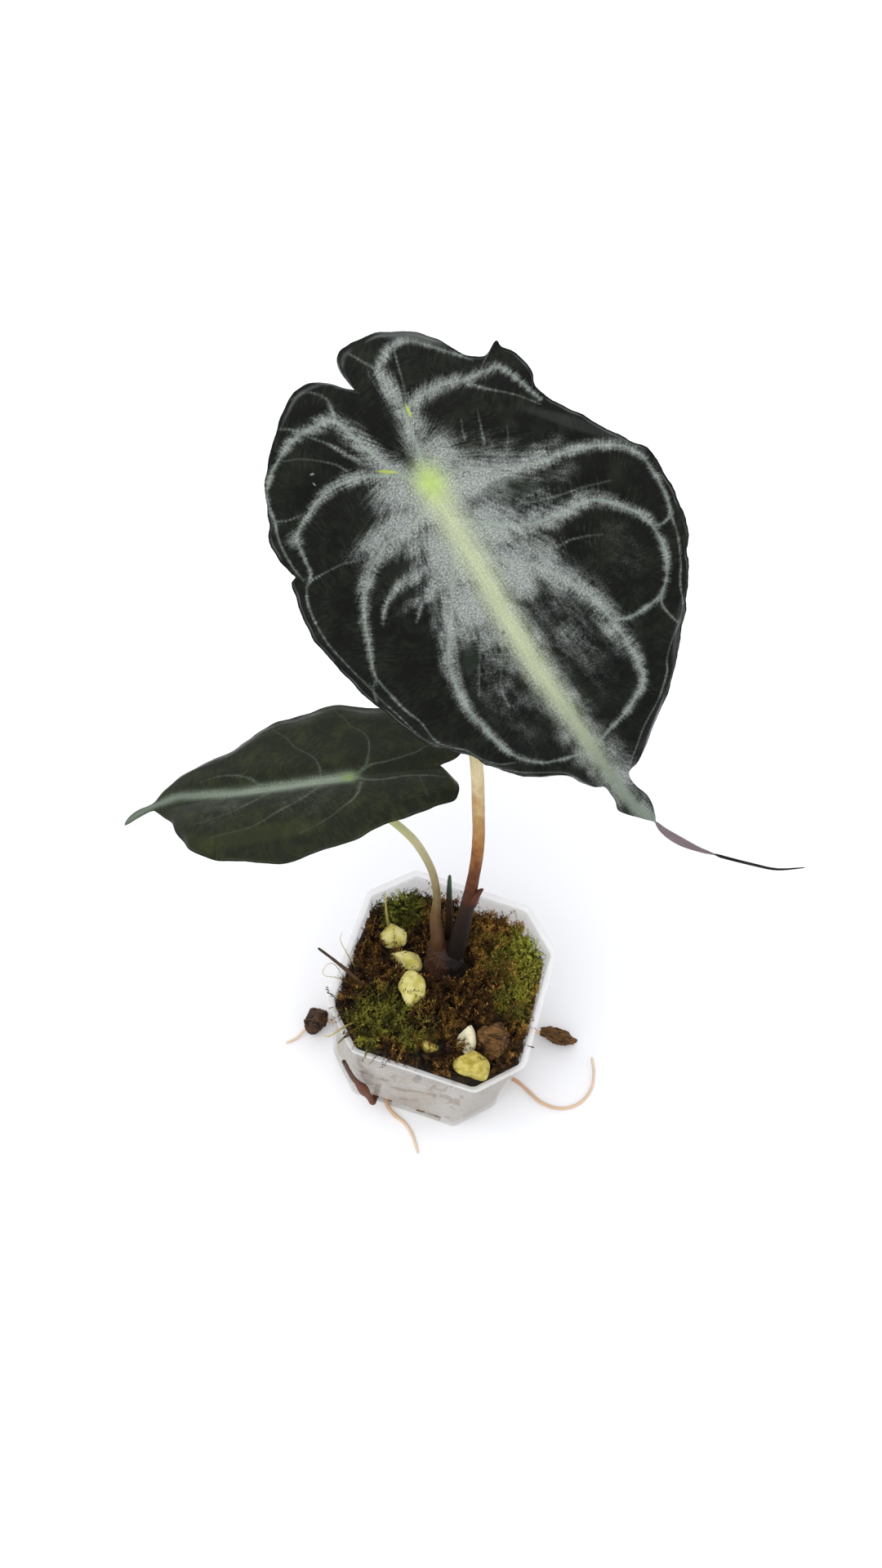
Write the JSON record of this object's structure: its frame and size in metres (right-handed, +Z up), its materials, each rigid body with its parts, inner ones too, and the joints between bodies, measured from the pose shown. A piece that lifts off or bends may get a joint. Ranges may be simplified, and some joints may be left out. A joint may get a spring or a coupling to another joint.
{
  "type": "potted alocasia plant",
  "caption": "Young dark-leaved alocasia in a small clear square nursery pot: a large and a small shield-shaped leaf on bent stalks rising from moss with pumice grains and stray roots.",
  "frame": {"origin": "middle of the pot's flat underside, on the surface that the pot stands on", "axes": "+Z up; the pot's sides face X and Y; -Y is the front, towards which the large leaf hangs; the small leaf points to -X"},
  "size_m": [0.1635, 0.1069, 0.2199],
  "materials": {
    "clear_plastic": "soft milky clear, creased",
    "moss": "fibrous, damp",
    "green_moss": "fibrous, damp",
    "stem": "ringed, dull",
    "petiole": "smooth, brown at the foot and pale above",
    "pale_petiole": "smooth, pale green above, brown at the foot",
    "leaf": "dark velvet with silvery veins",
    "shoot": "smooth, dark green",
    "pumice": "rough, tinted yellow-green",
    "white_pumice": "rough, off-white",
    "bark": "rough, damp",
    "pale_root": "smooth, pale tan",
    "dark_root": "rough, dark brown"
  },
  "bodies": {
    "root": {"pot": "clear_plastic", "moss_plug": "moss", "stem_base": "stem", "main_petiole": "petiole", "main_leaf": "leaf", "small_petiole": "pale_petiole", "small_leaf": "leaf", "new_shoot": "shoot", "grain_back": "pumice", "grain_middle": "pumice", "grain_front": "pumice", "grain_corner": "pumice", "grain_white": "white_pumice", "grain_small": "pumice", "bark_chip_top": "bark", "bark_chip_right": "bark", "bark_chip_left": "bark", "root_right_curl": "pale_root", "root_right_short": "pale_root", "root_front": "pale_root", "root_climbing": "dark_root", "root_left": "pale_root", "twig": "dark_root", "moss_tuft_back": "green_moss", "moss_tuft_right": "green_moss"}
  },
  "joints": []
}
